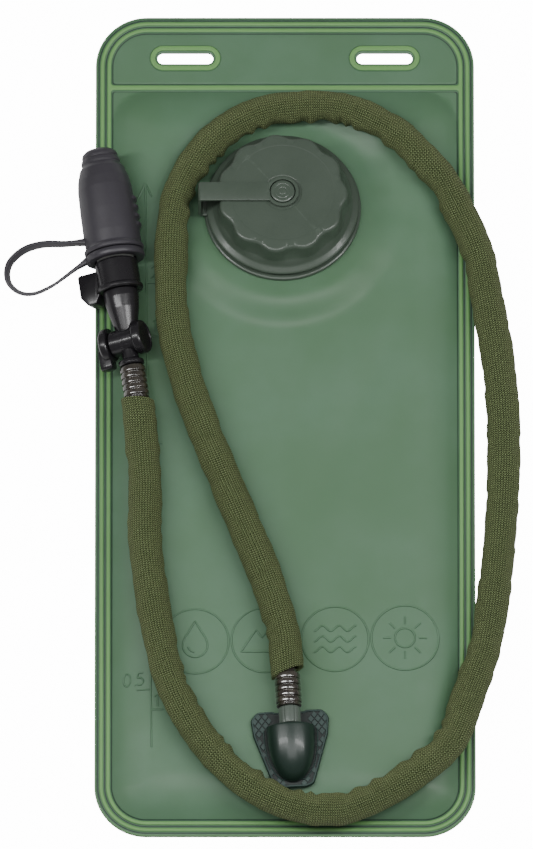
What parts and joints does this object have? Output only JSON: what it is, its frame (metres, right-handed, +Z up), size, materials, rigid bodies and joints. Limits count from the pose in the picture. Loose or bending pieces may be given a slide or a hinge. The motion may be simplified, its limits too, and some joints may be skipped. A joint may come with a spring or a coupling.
{
  "type": "hydration bladder",
  "caption": "Flat welded drinking bladder with a screw-capped filling port, a sleeved hose laid in a loop, a lever shut-off and a bite valve under a leashed rubber cover.",
  "frame": {"origin": "centre of the back sheet's outer face, on the surface that the bladder lies on", "axes": "+X right, +Y towards the hanging slots, +Z up out of the back sheet, towards the filling port"},
  "size_m": [0.2566, 0.428, 0.0355],
  "materials": {
    "film": "satin translucent film",
    "port_plastic": "fine satin moulding",
    "outlet_plate": "cross-hatched satin moulding",
    "outlet_dome": "gloss moulding",
    "hose_tube": "smoky gloss tube",
    "sleeve_knit": "ribbed knit",
    "valve_plastic": "satin moulding",
    "black_rubber": "soft satin rubber",
    "silicone": "soft silicone"
  },
  "bodies": {
    "bladder": {"back_sheet": "film", "front_sheet": "film", "fill_port_neck": "port_plastic", "tether_neck_ring": "port_plastic", "outlet_plate": "outlet_plate", "outlet_dome": "outlet_dome", "hose_plug": "outlet_dome", "plug_o_ring_1": "black_rubber", "plug_o_ring_2": "black_rubber", "outlet_hose_cuff": "hose_tube", "hose": "hose_tube", "hose_sleeve": "sleeve_knit", "valve_hose_cuff": "hose_tube", "shutoff_body": "valve_plastic", "spigot_o_ring": "black_rubber"},
    "tether": {"tether_strap": "port_plastic"},
    "cap": {"cap": "port_plastic", "cap_seal": "black_rubber", "cap_button": "port_plastic"},
    "shutoff": {"shutoff_spindle": "valve_plastic", "spindle_o_ring_1": "black_rubber", "spindle_o_ring_2": "black_rubber", "shutoff_lever": "valve_plastic"},
    "bite_valve": {"swivel_collar": "valve_plastic", "mouthpiece_core": "valve_plastic", "mouthpiece": "silicone", "leash_ring": "black_rubber", "cover_leash": "black_rubber"},
    "cover": {"bite_valve_cover": "black_rubber"}
  },
  "joints": [
    {"name": "cap_lift", "type": "slide", "parent": "bladder", "child": "tether", "axis": [0, 0.1219, 0.9925], "range_m": [0, 0.009]},
    {"name": "cap_turn", "type": "hinge", "parent": "tether", "child": "cap", "pos_m": [-0.0012, 0.1103, 0.0096], "axis": [0, 0.1219, 0.9925], "range_deg": [0, 540]},
    {"name": "shutoff_turn", "type": "hinge", "parent": "bladder", "child": "shutoff", "pos_m": [-0.0784, 0.03835, 0.0206], "axis": [-0.8964, -0.134, -0.4226], "range_deg": [0, 90]},
    {"name": "bite_valve_swivel", "type": "hinge", "parent": "bladder", "child": "bite_valve", "pos_m": [-0.0764, 0.025, 0.0206], "axis": [-0.1478, 0.989, 0], "range_deg": [0, 120]},
    {"name": "cover_pull", "type": "slide", "parent": "bite_valve", "child": "cover", "axis": [-0.1478, 0.989, 0], "range_m": [0, 0.042]}
  ],
  "couplings": [
    {"joint": "cap_lift", "follows": "cap_turn", "m_per_rad": 0.00095493}
  ]
}
